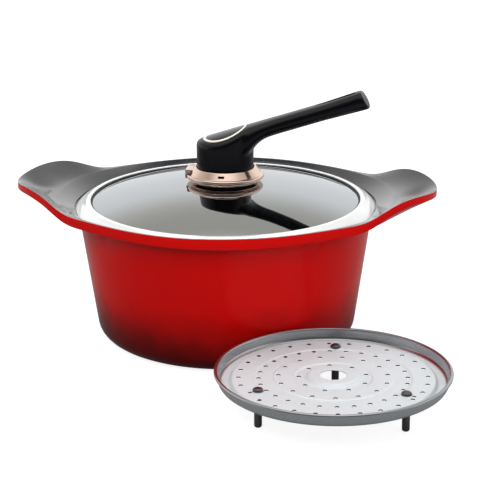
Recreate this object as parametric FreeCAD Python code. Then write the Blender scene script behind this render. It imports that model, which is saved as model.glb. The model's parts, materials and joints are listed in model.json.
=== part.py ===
import FreeCAD
import Part
import os
from math import cos, exp, hypot, pi, radians, sin, sqrt, tan

# Lidded stock pot with a glass lid, a lever knob with a turning steam collar, and a steamer rack.
# Millimetres, +Z up. Origin: centre of the pot's base, on the surface it stands on.
# The pot's two ears lie along +X and -X.

# Pot casting
MOUTH_R = 120.0          # radius of the mouth at the ledge that the lid rests on
LEDGE_Z = 110.0          # height of that ledge
WALL = 3.8               # wall thickness at the mouth
WALL_TAPER = 0.1447      # outward run of the wall per unit of height
FLOOR = 5.0
BASE_CORNER = 13.0       # outer rounding between wall and base
RECESS_GAP = 7.0         # width of the ledge, from the mouth to the recess wall
RECESS_DEPTH = 2.4       # straight part of the recess wall above the ledge
RIM_RISE = 9.2           # rim crest above the ledge
RIM_OUT = 9.1            # rim's outer edge beyond the mouth, clear of the ears
RIM_FLAT = 1.6           # width of the rim's top, clear of the ears
RIM_EDGE = 8.6           # height of the rim's outer edge, clear of the ears
RIM_ROOT = 1.5           # rim's underside meets the wall this far below the ledge
ROOT_SINK = 0.8          # how far the rim's section runs into the wall
ROOT_STEP = 0.3
RIM_CORE = 5.0           # how far the rim's section runs inside the mouth before it is cut

# Ears
EAR_REACH = 47.7         # how far each ear stands out beyond the rim
EAR_SPREAD = 29.2        # angle over which the outline falls back, degrees
EAR_LIFT = 14.8          # rise of the ear's edge above the rim
EAR_LIFT_SPREAD = 27.2
EAR_DIP = 4.3            # dip of the edge at the tip
EAR_DIP_SPREAD = 11.7
EAR_EDGE = 5.6           # thickness of the ear
EAR_ROOT = 3.0           # how much lower the ear's underside meets the wall
EAR_POWER = 1.93         # shapes of the fall in outline, lift, dip and flare
LIFT_POWER = 5.6
DIP_POWER = 2.0
FLARE_POWER = 3.2
TOP_CURVE = 1.25         # how late the ear's top turns upwards
UNDER_CURVE = 2.5        # how early its underside leaves the wall
FLARE = 13.4             # how far the crest moves out under each ear
FLARE_SPREAD = 44.0
THUMB_HOLLOW = 2.6       # depth of the hollow near the tip
THUMB_REACH = 0.62       # its place between crest and tip
THUMB_R = 13.0
RIM_STEPS = (0, 4, 8, 12, 16, 20, 24, 28, 33, 38, 44, 52, 62, 75, 90)   # angles of the sections

# Lid
LID_GAP = 0.3            # rest clearance under the lid and around its own moving pieces
LID_SIDE_GAP = 1.0       # between the band and the recess wall
BAND_RISE = 5.0          # height of the band's bead above its outer edge
BEAD_INSET = 9.2         # bead's place inside the band's outer edge
BAND_EDGE = 0.8
BAND_BULGE = 0.66        # height of the band half-way, as a share of its rise
BEAD_HALF_W = 1.0
LIP = 2.0                # width of the band's lip over the glass
SKIRT_GAP = 1.2          # between the skirt and the pot's mouth
SKIRT_T = 0.8
SKIRT_DROP = 5.5
SEAL_T = 1.0
SEAL_GRIP = 2.4          # how far the seal reaches over the glass
GLASS_INSET = 2.4        # glass edge inside the bead
GLASS_T = 4.0
DOME_RISE = 17.6
GLASS_HOLE_R = 4.6
VENT_R = 2.5             # two steam holes in the glass
VENT_CIRCLE = 17.0

# Knob stack
GASKET_R = 24.5
GASKET_T = 0.6
SEAT_R = 29.0
SEAT_T = 1.1
SEAT_EDGE = 0.4
BUSH_R = 9.0
BUSH_FIT = 0.06          # radial running clearance of the collar on its bush
SCREW_FIT = 0.06         # radial clearance of what the screw passes through
COLLAR_R = 32.6
COLLAR_BRIM = 4.2        # height of the rolled brim
BRIM_ROUND = 1.7
BRIM_W = 2.4             # width of the brim's top, outside the foot of the cone
COLLAR_FLOOR = 2.0
COLLAR_WALL = 1.4
COLLAR_ROUND = 0.4
COLLAR_RISE = 9.8        # collar's height over its brim's underside
CUP_OVERLAP = 1.9        # how deep the hub sits inside the collar's neck
SLOT_W = 5.2
SLOT_H = 1.7
SLOT_DOWN = 0.2          # slot's top below the hub's foot
TAB_W = 15.0
TAB_TOP = 7.6            # tab's top above the collar's underside
TAB_OUT = 0.4            # tab's face beyond the brim
TAB_ROUND = 0.6
HUB_R = 23.9
HUB_CLEAR = 0.5          # between the hub and the collar's neck
HUB_RISE = 29.2          # from the collar's neck to the centre of the hub's sloping top
TOP_SLOPE = 17.6         # slope of the hub's top and of the arm, degrees
TOP_CROWN = 52.0         # crosswise radius of the hub's top
ARM_END = 117.0          # arm's reach from the axis, at the middle of its end
ARM_HALF_W = 12.4
ARM_THICK = 13.6
ARM_END_LEAN = 30.0      # lean of the arm's cut end, degrees
ARM_LEAN_RUN = 34.0      # length over which the sections come to lean so
ARM_ROOT_DROP = 14.0     # extra depth of the arm where it leaves the hub
ARM_ROOT_START = 15.0    # distance from the axis where that depth starts to fade
ARM_ROOT_FADE = 11.0
ARM_ROOT_FLARE = 5.6     # extra half width of the arm there
ARM_FLARE_FADE = 17.0
ARM_STATIONS = 14        # sections along the arm
OVAL_POINTS = 16         # points of each section
OVAL_POWER = 0.8         # 1 would make the section an ellipse; less makes it fuller
GRIP_HOLLOW = 1.3        # shallow groove on top, near the end
GRIP_START = 74.0
GRIP_LENGTH = 36.0
GRIP_HALF_W = 3.6
INLAY_R = 18.2
TRIM_W = 2.1
TRIM_PROUD = 0.5
INLAY_PROUD = 0.3
INLAY_DEPTH = 1.6
INSERT_R = 4.0
INSERT_LENGTH = 13.0
SCREW_R = 2.5
SCREW_HEAD_R = 5.4
SCREW_HEAD_H = 3.6
SCREW_HEAD_ROUND = 2.2
SCREW_END_ROUND = 0.6
SCREW_SOCKET_R = 1.8
SCREW_SOCKET = 2.0
SCREW_GRIP = 10.0        # length of the screw inside the insert
INNER_GASKET_R = 10.5
INNER_GASKET_T = 1.5
INNER_WASHER_R = 9.5
INNER_WASHER_T = 1.2
WASHER_ROUND = 0.4

# Steamer rack, standing beside the pot
RACK_R = 90.0
RACK_GAP = 0.8           # between the rack's rim and the pot's wall
RACK_BEARING = -59.6     # direction from the pot's axis, degrees from +X
RACK_TOP = 35.6          # height of the rolled rim
RACK_PLATE_Z = 27.9      # top of the perforated plate
RACK_T = 0.9
RACK_BEAD_R = 1.5
TROUGH_DEPTH = 2.2
TROUGH_W = 9.5
TROUGH_RIM = 4.0         # from the trough's outer edge to the outside of the rim
TROUGH_SLOPE = 2.5
BOSS_SHARE = 0.281       # this share and those below are parts of the perforated field's radius
BOSS_RISE = 2.6
BOSS_SLOPE = 3.0         # width of the boss's sloping side
CENTRE_HOLE_R = 10.0
PERFORATION_R = 1.7
HOLE_LAND = 0.8          # least metal between a perforation and a cap or a drain hole
DRILL_REACH = 4.0        # half length of the drilling bodies
RING_SHARES = ((0.339, 9), (0.542, 15), (0.735, 28), (0.932, 28))   # share, number of holes
STEP_RISE = 0.7          # embossed steps between the rings of holes
STEP_WIDTH = 1.2
STEP_SHARES = (0.376, 0.580, 0.766)   # each just outside a ring of holes
LEG_R = 2.95
LEG_SHARE = 0.824
LEG_START = 212.1
LEG_COUNT = 3
LEG_STUD_R = 1.6
LEG_STUD_GRIP = 1.2      # length of the stud inside its cap
LEG_ROUND = 1.4          # rounding of the foot
LEG_CAP_R = 4.15
LEG_CAP_H = 2.6
LEG_CAP_ROUND = 2.2
DRAIN_R = 1.5            # small drain hole beside each leg
DRAIN_STEP = 6.4

# Worked out from the sizes above
RIM_R = MOUTH_R + RIM_OUT
RIM_Z = LEDGE_Z + RIM_RISE
RECESS_R = MOUTH_R + RECESS_GAP
FLARE_Z = LEDGE_Z + RECESS_DEPTH
BAND_R = RECESS_R - LID_SIDE_GAP
BAND_Z = LEDGE_Z + LID_GAP
BEAD_R = BAND_R - BEAD_INSET
BEAD_Z = BAND_Z + BAND_EDGE + BAND_RISE
GLASS_R = BEAD_R - GLASS_INSET
GLASS_EDGE_Z = BEAD_Z - SEAL_T
DOME_R = (GLASS_R ** 2 + DOME_RISE ** 2) / (2 * DOME_RISE)
GLASS_TOP = GLASS_EDGE_Z + DOME_RISE
DOME_Z = GLASS_TOP - DOME_R
SEAT_Z = GLASS_TOP + GASKET_T
SEAT_TOP = SEAT_Z + SEAT_T
COLLAR_Z = SEAT_TOP + LID_GAP
NECK_Z = COLLAR_Z + COLLAR_RISE
HUB_Z = NECK_Z - CUP_OVERLAP
NECK_IN_R = HUB_R + HUB_CLEAR
NECK_R = NECK_IN_R + COLLAR_WALL
TOP_Z = NECK_Z + HUB_RISE
TROUGH_OUT_R = RACK_R - TROUGH_RIM
FIELD_R = TROUGH_OUT_R - TROUGH_W      # radius of the rack's perforated field
BOSS_R = BOSS_SHARE * FIELD_R
LEG_CIRCLE = LEG_SHARE * FIELD_R
SLOPE = tan(radians(TOP_SLOPE))
BAR_REACH = 3 * HUB_R    # half length of the bar that shapes the hub's top
CUT_EXTRA = 1.0          # how far a cutting body passes the surface it cuts

UP = FreeCAD.Vector(0, 0, 1)
ORIGIN = FreeCAD.Vector(0, 0, 0)


def at(x, y, z):
    return FreeCAD.Vector(x, y, z)


def section(corners):
    """Closed wire in the XZ plane through (r, z) corners. A third number rounds that corner."""
    points = [at(c[0], 0, c[1]) for c in corners]
    starts, ends, arcs = [], [], []
    for i, corner in enumerate(corners):
        here = points[i]
        radius = corner[2] if len(corner) > 2 else 0
        if not radius:
            starts.append(here)
            ends.append(here)
            arcs.append(None)
            continue
        back = (points[i - 1] - here).normalize()
        ahead = (points[(i + 1) % len(points)] - here).normalize()
        half = back.getAngle(ahead) / 2
        reach = radius / tan(half)
        middle = here + (back + ahead).normalize() * (radius / sin(half) - radius)
        starts.append(here + back * reach)
        ends.append(here + ahead * reach)
        arcs.append(Part.Arc(starts[-1], middle, ends[-1]).toShape())
    edges = []
    for i, arc in enumerate(arcs):
        if arc:
            edges.append(arc)
        nearest = starts[(i + 1) % len(points)]
        if (nearest - ends[i]).Length > 1e-6:
            edges.append(Part.makeLine(ends[i], nearest))
    return Part.Wire(edges)


def turned(*corners):
    """Solid of revolution about Z from (r, z) corners."""
    return Part.Face(section(corners)).revolve(ORIGIN, UP, 360)


def rod(radius, bottom, top, x=0, y=0):
    return Part.makeCylinder(radius, top - bottom, at(x, y, bottom))


def spot(radius, angle):
    """X and Y of a place at an angle in degrees on a circle about the axis."""
    return radius * cos(radians(angle)), radius * sin(radians(angle))


def save(name, shape):
    if not shape.isValid():
        print("NOT VALID", name)
    shape.exportStep("parts/" + name + ".step")
    box = shape.BoundBox
    print(name, len(shape.Solids), "solids", round(shape.Volume), "mm3",
          [round(v, 1) for v in (box.XMin, box.XMax, box.YMin, box.YMax, box.ZMin, box.ZMax)])


# ---- pot ----

def wall_r(z):
    """Outer radius of the pot's wall at a height."""
    return MOUTH_R + WALL - WALL_TAPER * (LEDGE_Z - z)


def fade(distance, spread, power):
    """1 at no distance, falling smoothly to 0 beyond the spread."""
    return exp(-(abs(distance) / spread) ** power)


def crest_r(angle):
    return RIM_R - RIM_FLAT + FLARE * fade(angle, FLARE_SPREAD, FLARE_POWER)


def outline(angle):
    """Radius and height of the rim's outer edge at an angle from the ear's axis."""
    r = RIM_R + EAR_REACH * fade(angle, EAR_SPREAD, EAR_POWER)
    lift = EAR_LIFT * fade(angle, EAR_LIFT_SPREAD, LIFT_POWER)
    return r, RIM_Z + lift - EAR_DIP * fade(angle, EAR_DIP_SPREAD, DIP_POWER)


def thumb_hollow(r, angle, share):
    """Depth of the thumb hollow at a place on the ear, none at its edges."""
    middle = crest_r(0) + THUMB_REACH * (outline(0)[0] - crest_r(0))
    away = hypot(r * cos(radians(angle)) - middle, r * sin(radians(angle)))
    return THUMB_HOLLOW * fade(away, THUMB_R, 2) * (1 - share ** 4) * min(1, 4 * share)


def ear_top(angle, share):
    """Point on the top between the crest (share 0) and the outer edge (share 1)."""
    inner = crest_r(angle)
    outer, edge_z = outline(angle)
    r = inner + (outer - inner) * share
    return r, RIM_Z + (edge_z - RIM_Z) * share ** TOP_CURVE - thumb_hollow(r, angle, share)


def ear_root(angle):
    """Height where the underside of rim and ear meets the wall."""
    return LEDGE_Z - RIM_ROOT - EAR_ROOT * fade(angle, EAR_SPREAD, EAR_POWER)


def ear_under(angle, share):
    """Point on the underside between the wall (share 0) and the outer edge (share 1)."""
    outer, edge_z = outline(angle)
    edge = RIM_EDGE + (EAR_EDGE - RIM_EDGE) * fade(angle, EAR_SPREAD, EAR_POWER)
    root_z = ear_root(angle)
    root_r = wall_r(root_z)
    r = root_r + (outer - root_r) * share
    over = max(0, (r - crest_r(angle)) / (outer - crest_r(angle)))
    sunk = RIM_Z + (edge_z - RIM_Z) * over ** TOP_CURVE - edge
    return r, root_z + (sunk - root_z) * (1 - (1 - share) ** UNDER_CURVE)


def rim_section(angle):
    """Closed section of rim and ear at an angle, reaching inwards past the mouth."""
    def place(point):
        return at(point[0] * cos(radians(angle)), point[0] * sin(radians(angle)), point[1])

    root_z = ear_root(angle)
    core_r = MOUTH_R - RIM_CORE
    below = [ear_under(angle, share) for share in (1.0, 0.8, 0.6, 0.4, 0.2)]
    below.append((wall_r(root_z) - ROOT_SINK, root_z - ROOT_STEP))
    top = Part.BSplineCurve()
    top.interpolate([place(ear_top(angle, s / 6)) for s in range(7)])
    under = Part.BSplineCurve()
    under.interpolate([place(p) for p in below])
    corners = [(core_r, root_z - ROOT_STEP), (core_r, FLARE_Z), (RECESS_R, FLARE_Z), (crest_r(angle), RIM_Z)]
    corners = [place(c) for c in corners]
    edges = [Part.makeLine(a, b) for a, b in zip(corners, corners[1:])]
    edges.append(top.toShape())
    edges.append(Part.makeLine(place(outline(angle)), place(below[0])))
    edges.append(under.toShape())
    edges.append(Part.makeLine(place(below[-1]), corners[0]))
    return Part.Wire(edges)


def rim_half():
    """The rim with one ear, over half a turn."""
    angles = [-a for a in reversed(RIM_STEPS[1:])] + list(RIM_STEPS)
    return Part.makeLoft([rim_section(a) for a in angles], True)


def pot_body():
    top = LEDGE_Z + RECESS_DEPTH / 2
    block = turned((0, 0), (wall_r(0), 0, BASE_CORNER), (wall_r(top), top), (0, top))
    half = rim_half()
    other = half.copy()
    other.rotate(ORIGIN, UP, 180)
    inner_floor = MOUTH_R - WALL_TAPER * (LEDGE_Z - FLOOR)
    above = RIM_Z + EAR_LIFT
    hollow = turned((0, FLOOR), (inner_floor, FLOOR, BASE_CORNER), (MOUTH_R, LEDGE_Z),
                    (RECESS_R, LEDGE_Z), (RECESS_R, above), (0, above))
    return block.fuse([half, other]).cut(hollow).removeSplitter()


# ---- lid ----

def dome_z(r, drop=0.0):
    """Height of the glass at a radius, drop below its top surface."""
    return DOME_Z + sqrt((DOME_R - drop) ** 2 - r ** 2)


def glass_arc(inner, outer, drop):
    ends = [at(r, 0, dome_z(r, drop)) for r in (inner, (inner + outer) / 2, outer)]
    return Part.Arc(*ends).toShape()


def dome_ring(inner, outer, low, high):
    """Ring between two depths under the glass's top surface; a negative depth is above it."""
    top = glass_arc(inner, outer, low)
    bottom = glass_arc(inner, outer, high)
    sides = [Part.makeLine(at(r, 0, dome_z(r, low)), at(r, 0, dome_z(r, high))) for r in (inner, outer)]
    return Part.Face(Part.Wire([top, sides[1], bottom, sides[0]])).revolve(ORIGIN, UP, 360)


def lid_glass():
    glass = dome_ring(GLASS_HOLE_R, GLASS_R, 0.0, GLASS_T)
    for side in (1, -1):
        glass = glass.cut(rod(VENT_R, GLASS_EDGE_Z, GLASS_TOP + CUT_EXTRA, 0, side * VENT_CIRCLE))
    return glass


def lid_rim_seal():
    """Soft channel around the edge of the glass."""
    outer = GLASS_R + SEAL_T
    low = dome_z(GLASS_R, GLASS_T) - SEAL_T
    high = dome_z(GLASS_R - SEAL_GRIP) + SEAL_T
    ring = turned((GLASS_R - SEAL_GRIP, low), (outer, low), (outer, high, 0.5),
                  (GLASS_R - SEAL_GRIP, high, 0.5))
    return ring.cut(dome_ring(GLASS_HOLE_R, GLASS_R, 0.0, GLASS_T))


def lid_rim():
    """Polished band that grips the seal, rests on the ledge and drops a skirt into the mouth."""
    seal_r = GLASS_R + SEAL_T
    seal_low = dome_z(GLASS_R, GLASS_T) - SEAL_T
    seal_high = dome_z(GLASS_R - SEAL_GRIP) + SEAL_T
    skirt_r = MOUTH_R - SKIRT_GAP
    inner = seal_r - LIP
    crown_r = BEAD_R + BEAD_HALF_W
    lip = at(inner, 0, seal_high + SKIRT_T)
    over_lip = at((inner + crown_r) / 2, 0, (seal_high + SKIRT_T + BEAD_Z + BEAD_HALF_W / 2) / 2)
    bead = at(crown_r, 0, BEAD_Z)
    bulge = at((crown_r + BAND_R) / 2, 0, BAND_Z + BAND_EDGE + BAND_BULGE * BAND_RISE)
    edge = at(BAND_R, 0, BAND_Z + BAND_EDGE)
    edges = [Part.makeLine(at(inner, 0, seal_high), lip)]
    edges.append(Part.Arc(lip, over_lip, bead).toShape())
    edges.append(Part.Arc(bead, bulge, edge).toShape())
    rest = [(BAND_R, BAND_Z + BAND_EDGE), (BAND_R, BAND_Z), (skirt_r, BAND_Z),
            (skirt_r, BAND_Z - SKIRT_DROP), (skirt_r - SKIRT_T, BAND_Z - SKIRT_DROP),
            (skirt_r - SKIRT_T, seal_low - SKIRT_T), (inner, seal_low - SKIRT_T), (inner, seal_low),
            (seal_r, seal_low), (seal_r, seal_high), (inner, seal_high)]
    points = [at(r, 0, z) for r, z in rest]
    edges += [Part.makeLine(a, b) for a, b in zip(points, points[1:])]
    return Part.Face(Part.Wire(edges)).revolve(ORIGIN, UP, 360)


def knob_base_gasket():
    low = dome_z(GASKET_R) - GASKET_T
    ring = turned((GLASS_HOLE_R, low), (GASKET_R, low), (GASKET_R, SEAT_Z), (GLASS_HOLE_R, SEAT_Z))
    ring = ring.cut(Part.makeSphere(DOME_R, at(0, 0, DOME_Z)))
    return vented(ring)


def vented(shape):
    """Steam holes that line up with those in the glass."""
    for side in (1, -1):
        shape = shape.cut(rod(VENT_R, GLASS_EDGE_Z, SEAT_TOP + CUT_EXTRA, 0, side * VENT_CIRCLE))
    return shape


def collar_seat():
    hole = SCREW_R + SCREW_FIT
    seat = turned((hole, SEAT_Z), (SEAT_R, SEAT_Z, SEAT_EDGE), (SEAT_R, SEAT_TOP, SEAT_EDGE),
                  (hole, SEAT_TOP))
    return vented(seat)


def collar_bush():
    hole = SCREW_R + SCREW_FIT
    return turned((hole, SEAT_TOP), (BUSH_R, SEAT_TOP), (BUSH_R, HUB_Z), (hole, HUB_Z))


def vent_collar():
    """Turning cup around the foot of the knob, with a steam slot and a finger tab."""
    bore = BUSH_R + BUSH_FIT
    floor = COLLAR_Z + COLLAR_FLOOR
    brim = COLLAR_Z + COLLAR_BRIM
    cup = turned((bore, COLLAR_Z), (COLLAR_R, COLLAR_Z, BRIM_ROUND), (COLLAR_R, brim, BRIM_ROUND),
                 (COLLAR_R - BRIM_W, brim), (NECK_R, NECK_Z, COLLAR_ROUND), (NECK_IN_R, NECK_Z),
                 (NECK_IN_R, floor), (bore, floor))
    slot_low = HUB_Z - SLOT_DOWN - SLOT_H
    slot = Part.makeBox(SLOT_W, COLLAR_R, SLOT_H, at(-SLOT_W / 2, -COLLAR_R - CUT_EXTRA, slot_low))
    face = COLLAR_R + TAB_OUT
    depth = face - NECK_IN_R - COLLAR_WALL / 2
    tab = Part.makeBox(depth, TAB_W, TAB_TOP, at(-face, -TAB_W / 2, COLLAR_Z))
    outer = [e for e in tab.Edges if e.BoundBox.XMax < -face + TAB_ROUND and e.BoundBox.ZLength > TAB_ROUND]
    return cup.fuse(tab.makeFillet(TAB_ROUND, outer)).cut(slot).removeSplitter()


def crowned(raise_by, reach):
    """Long round bar whose upper side is the hub's sloping, crowned top, moved up or down."""
    along = at(cos(radians(TOP_SLOPE)), 0, sin(radians(TOP_SLOPE)))
    middle = at(0, 0, TOP_Z + raise_by - TOP_CROWN / cos(radians(TOP_SLOPE)))
    return Part.makeCylinder(TOP_CROWN, 2 * reach, middle - along * reach, along)


def oval(half_w, half_h):
    """Closed superellipse-like curve, flatter than an ellipse, as (across, up) points."""
    points = []
    for i in range(OVAL_POINTS):
        a = 2 * pi * i / OVAL_POINTS
        across = abs(cos(a)) ** OVAL_POWER * (1 if cos(a) >= 0 else -1)
        up = abs(sin(a)) ** OVAL_POWER * (1 if sin(a) >= 0 else -1)
        points.append((half_w * across, half_h * up))
    return points


def root_depth(x):
    """Extra depth under the arm where it grows out of the hub."""
    return ARM_ROOT_DROP * fade(max(0, x - ARM_ROOT_START), ARM_ROOT_FADE, 2)


def arm_section(x):
    """Section of the arm at x, its top on the hub's sloping line, leaning more towards the end."""
    thick = ARM_THICK / cos(radians(TOP_SLOPE)) + root_depth(x)
    top = TOP_Z + SLOPE * x
    lean = tan(radians(ARM_END_LEAN)) * max(0, 1 - (ARM_END - x) / ARM_LEAN_RUN)
    half_w = ARM_HALF_W + ARM_ROOT_FLARE * fade(max(0, x - ARM_ROOT_START), ARM_FLARE_FADE, 2)
    points = [at(x - lean * up, across, top - thick / 2 + up) for across, up in oval(half_w, thick / 2)]
    curve = Part.BSplineCurve()
    curve.interpolate(points, PeriodicFlag=True)
    return Part.Wire(curve.toShape())


def lever_arm():
    stations = [ARM_END * i / ARM_STATIONS for i in range(ARM_STATIONS + 1)]
    return Part.makeLoft([arm_section(x) for x in stations], True)


def grip_groove():
    """Long shallow hollow on the arm's top."""
    middle_x = GRIP_START + GRIP_LENGTH / 2
    pit = Part.makeSphere(1.0)
    shape = FreeCAD.Matrix()
    shape.scale(GRIP_LENGTH / 2, GRIP_HALF_W, GRIP_HOLLOW)
    pit = pit.transformGeometry(shape)
    pit.rotate(ORIGIN, at(0, 1, 0), -TOP_SLOPE)
    pit.translate(at(middle_x, 0, TOP_Z + SLOPE * middle_x))
    return pit


def lever_knob():
    hub = rod(HUB_R, HUB_Z, TOP_Z + HUB_R).common(crowned(0, BAR_REACH))
    seat = rod(INLAY_R, TOP_Z - 2 * HUB_R, TOP_Z + HUB_R)
    seat = seat.cut(crowned(-INLAY_DEPTH, BAR_REACH))
    bore = rod(INSERT_R, HUB_Z - CUT_EXTRA, HUB_Z + INSERT_LENGTH)
    return hub.fuse(lever_arm()).cut(grip_groove()).cut(seat).cut(bore)


def inlay_trim_ring():
    ring = rod(INLAY_R, TOP_Z - HUB_R, TOP_Z + HUB_R).cut(rod(INLAY_R - TRIM_W, TOP_Z - HUB_R, TOP_Z + HUB_R))
    return ring.common(crowned(TRIM_PROUD, BAR_REACH)).cut(crowned(-INLAY_DEPTH, BAR_REACH))


def inlay_cap():
    disc = rod(INLAY_R - TRIM_W, TOP_Z - HUB_R, TOP_Z + HUB_R)
    return disc.common(crowned(INLAY_PROUD, BAR_REACH)).cut(crowned(-INLAY_DEPTH, BAR_REACH))


def knob_insert():
    return turned((SCREW_R, HUB_Z), (INSERT_R, HUB_Z), (INSERT_R, HUB_Z + INSERT_LENGTH),
                  (0, HUB_Z + INSERT_LENGTH), (0, HUB_Z + SCREW_GRIP), (SCREW_R, HUB_Z + SCREW_GRIP))


def inner_stack():
    """Washer and gasket under the glass, and the height of the screw's head."""
    gasket_top = dome_z(GLASS_HOLE_R, GLASS_T)
    gasket_low = gasket_top - INNER_GASKET_T
    return gasket_low, gasket_low - INNER_WASHER_T


def inner_gasket():
    low = inner_stack()[0]
    top = dome_z(0, GLASS_T) + CUT_EXTRA
    ring = turned((GLASS_HOLE_R, low), (INNER_GASKET_R, low), (INNER_GASKET_R, top), (GLASS_HOLE_R, top))
    return ring.common(Part.makeSphere(DOME_R - GLASS_T, at(0, 0, DOME_Z)))


def inner_washer():
    high, low = inner_stack()
    hole = SCREW_R + SCREW_FIT
    return turned((hole, low), (INNER_WASHER_R, low, WASHER_ROUND), (INNER_WASHER_R, high), (hole, high))


def knob_screw():
    washer_low = inner_stack()[1]
    head_low = washer_low - SCREW_HEAD_H
    end = HUB_Z + SCREW_GRIP
    screw = turned((0, head_low), (SCREW_HEAD_R, head_low, SCREW_HEAD_ROUND), (SCREW_HEAD_R, washer_low),
                   (SCREW_R, washer_low), (SCREW_R, end, SCREW_END_ROUND), (0, end))
    corners = [spot(SCREW_SOCKET_R, 60 * i) for i in range(7)]
    socket = Part.Face(Part.makePolygon([at(x, y, head_low) for x, y in corners]))
    return screw.cut(socket.extrude(UP * SCREW_SOCKET))


# ---- rack ----

def rack_centre():
    return at(*spot(wall_r(RACK_TOP) + RACK_R + RACK_GAP, RACK_BEARING), 0)


def leg_places():
    return [LEG_START + 360 / LEG_COUNT * i for i in range(LEG_COUNT)]


def rack_profile():
    """Centre line of the pressed sheet, from the centre hole out to the rim."""
    boss_z = RACK_PLATE_Z + BOSS_RISE
    trough_z = RACK_PLATE_Z - TROUGH_DEPTH
    line = [(CENTRE_HOLE_R, boss_z), (BOSS_R - BOSS_SLOPE, boss_z), (BOSS_R, RACK_PLATE_Z)]
    height = RACK_PLATE_Z
    for share in STEP_SHARES:
        r = share * FIELD_R
        raised = RACK_PLATE_Z + (STEP_RISE if height == RACK_PLATE_Z else 0)
        line += [(r, height), (r + STEP_WIDTH, raised)]
        height = raised
    line += [(FIELD_R, height), (FIELD_R + TROUGH_SLOPE, trough_z), (TROUGH_OUT_R, trough_z)]
    line.append((RACK_R - RACK_BEAD_R, RACK_TOP - RACK_BEAD_R))
    return line


def rack_plate():
    line = rack_profile()
    under = [(r, z - RACK_T) for r, z in line[:-1]] + [(line[-1][0] + RACK_T, line[-1][1])]
    sheet = turned(*line, *reversed(under))
    bead = Part.makeTorus(RACK_R - RACK_BEAD_R, RACK_BEAD_R, at(0, 0, RACK_TOP - RACK_BEAD_R))
    drills = [drill(LEG_STUD_R, *spot(LEG_CIRCLE, a)) for a in leg_places()]
    drills += [drill(DRAIN_R, *spot(LEG_CIRCLE + DRAIN_STEP, a)) for a in leg_places()]
    for share, count in RING_SHARES:
        places = [spot(share * FIELD_R, 360 / count * (i + 0.5)) for i in range(count)]
        drills += [drill(PERFORATION_R, x, y) for x, y in places if clear_of_legs(x, y)]
    return sheet.fuse(bead).cut(Part.makeCompound(drills))


def drill(radius, x, y):
    return rod(radius, RACK_PLATE_Z - DRILL_REACH, RACK_PLATE_Z + DRILL_REACH, x, y)


def clear_of_legs(x, y):
    """False for a perforation that a leg's cap would cover or that would run into a drain hole."""
    legs = [spot(LEG_CIRCLE, a) for a in leg_places()]
    drains = [spot(LEG_CIRCLE + DRAIN_STEP, a) for a in leg_places()]
    to_leg = min(hypot(x - a, y - b) for a, b in legs) - LEG_CAP_R - PERFORATION_R
    to_drain = min(hypot(x - a, y - b) for a, b in drains) - DRAIN_R - PERFORATION_R
    return min(to_leg, to_drain) > HOLE_LAND


def plate_height(radius):
    """Top of the sheet at a radius on the perforated field."""
    height = RACK_PLATE_Z
    for a, b in zip(rack_profile(), rack_profile()[1:]):
        if a[0] <= radius <= b[0]:
            height = a[1] + (b[1] - a[1]) * (radius - a[0]) / (b[0] - a[0])
    return height


def rack_leg():
    top = plate_height(LEG_CIRCLE) - RACK_T
    stud = top + RACK_T + LEG_STUD_GRIP
    return turned((0, 0), (LEG_R, 0, LEG_ROUND), (LEG_R, top), (LEG_STUD_R, top), (LEG_STUD_R, stud),
                  (0, stud))


def rack_leg_cap():
    """Domed nut on the leg's stud."""
    low = plate_height(LEG_CIRCLE)
    high = low + LEG_CAP_H
    bore = low + LEG_STUD_GRIP
    return turned((LEG_STUD_R, low), (LEG_CAP_R, low), (LEG_CAP_R, high, LEG_CAP_ROUND), (0, high), (0, bore),
                  (LEG_STUD_R, bore))


def placed(shape, angle=None):
    """Rack piece moved to its place, on one of the leg positions if an angle is given."""
    shape = shape.copy()
    if angle is not None:
        shape.translate(at(*spot(LEG_CIRCLE, angle), 0))
    shape.translate(rack_centre())
    return shape


def build():
    os.makedirs("parts", exist_ok=True)
    save("pot_body", pot_body())
    for piece in (lid_glass, lid_rim_seal, lid_rim, knob_base_gasket, collar_seat, collar_bush,
                  vent_collar, lever_knob, inlay_trim_ring, inlay_cap, knob_insert, inner_gasket,
                  inner_washer, knob_screw):
        save(piece.__name__, piece())
    save("rack_plate", placed(rack_plate()))
    for number, angle in enumerate(leg_places(), 1):
        save("rack_leg_" + str(number), placed(rack_leg(), angle))
    save("rack_leg_caps", Part.makeCompound([placed(rack_leg_cap(), angle) for angle in leg_places()]))


build()
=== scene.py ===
"""Looks of a lidded stock pot with a turning steam collar and a steamer rack, built around its CAD frame."""

from __future__ import annotations

import json
import logging
import math
from dataclasses import dataclass
from enum import Enum, IntEnum
from typing import Callable, Iterable, Union

import bmesh
import bpy
from mathutils import Matrix, Vector

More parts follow.
